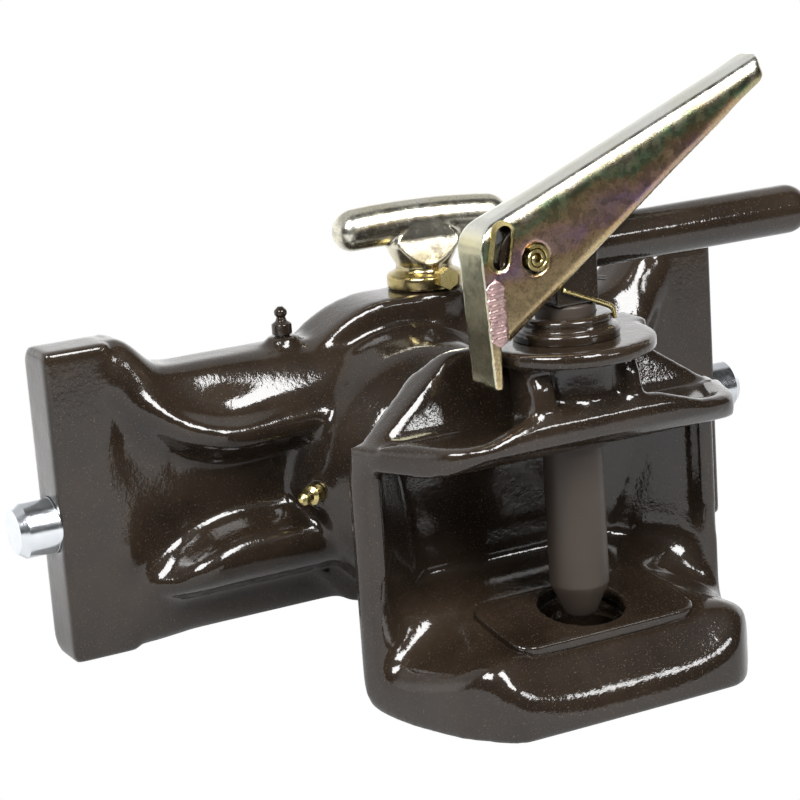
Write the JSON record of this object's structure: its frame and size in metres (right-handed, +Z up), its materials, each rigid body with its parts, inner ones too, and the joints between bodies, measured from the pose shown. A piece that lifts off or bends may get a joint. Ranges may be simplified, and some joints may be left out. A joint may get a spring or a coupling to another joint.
{
  "type": "automatic pin coupling",
  "caption": "Cast towing jaw with a lifting coupling pin and hand latch, swivelling in a slide-in carrier beam whose side locking pins draw in by a turning T-handle.",
  "frame": {"origin": "middle of the two locking pins' common axis, which the jaw's swivel axis also crosses", "axes": "+X to the right of the jaw along the locking pins, +Y to the rear along the swivel axis, +Z up along the rails that the carrier slides in"},
  "size_m": [0.429, 0.295, 0.2885],
  "materials": {
    "black_paint": "glossy brown-black enamel over a cast skin",
    "bright_zinc": "bluish zinc plate",
    "pale_zinc": "smooth silvery zinc plate",
    "yellow_zinc": "yellow-passivated zinc plate",
    "plain_steel": "bare machined steel",
    "spring_steel": "dark drawn wire",
    "bronze": "machined bronze"
  },
  "bodies": {
    "carrier_body": {"carrier": "black_paint", "hub_bush_front": "bronze", "hub_bush_rear": "bronze", "top_grease_nipple": "bright_zinc", "front_grease_nipple": "yellow_zinc", "lock_spring_left": "spring_steel", "lock_spring_right": "spring_steel"},
    "jaw_body": {"jaw": "black_paint", "wear_plate": "black_paint", "lower_pin_bush": "plain_steel", "upper_pin_bush": "plain_steel", "tower_cap": "black_paint", "shank_washer": "plain_steel", "castle_nut": "bright_zinc", "split_pin": "plain_steel"},
    "lift_pin": {"coupling_pin": "black_paint", "hand_bar": "black_paint", "spirol_pin": "yellow_zinc", "latch_spring": "spring_steel"},
    "latch": {"latch_lever": "yellow_zinc"},
    "handle": {"lock_handle": "pale_zinc", "handle_bolt": "yellow_zinc", "lock_shaft": "plain_steel", "drive_pins": "plain_steel"},
    "lock_left": {"locking_pin_left": "bright_zinc", "draw_arm_left": "plain_steel", "draw_nut_left": "bright_zinc"},
    "lock_right": {"locking_pin_right": "bright_zinc", "draw_arm_right": "plain_steel", "draw_nut_right": "bright_zinc"}
  },
  "joints": [
    {"name": "jaw_swivel", "type": "hinge", "parent": "carrier_body", "child": "jaw_body", "pos_m": [0, 0, 0], "axis": [0, 1, 0], "continuous": true},
    {"name": "pin_lift", "type": "slide", "parent": "jaw_body", "child": "lift_pin", "axis": [0, 0, 1], "range_m": [0, 0.085]},
    {"name": "latch_squeeze", "type": "hinge", "parent": "lift_pin", "child": "latch", "pos_m": [-0.023, -0.1818, 0.133], "axis": [0, 1, 0], "range_deg": [0, 8], "stiffness_Nm_per_rad": 1.2, "springref_deg": -34.38},
    {"name": "handle_turn", "type": "hinge", "parent": "carrier_body", "child": "handle", "pos_m": [0.028, 0.008, 0], "axis": [0, 0, -1], "range_deg": [0, 89.5], "stiffness_Nm_per_rad": 0.8, "springref_deg": -34.38},
    {"name": "lock_left_draw", "type": "slide", "parent": "carrier_body", "child": "lock_left", "axis": [1, 0, 0], "range_m": [0, 0.02], "deforming": ["lock_spring_left"]},
    {"name": "lock_right_draw", "type": "slide", "parent": "carrier_body", "child": "lock_right", "axis": [-1, 0, 0], "range_m": [0, 0.02], "deforming": ["lock_spring_right"]}
  ],
  "couplings": [
    {"joint": "lock_left_draw", "follows": "handle_turn", "m_per_rad": 0.0128},
    {"joint": "lock_right_draw", "follows": "handle_turn", "m_per_rad": 0.0128}
  ]
}
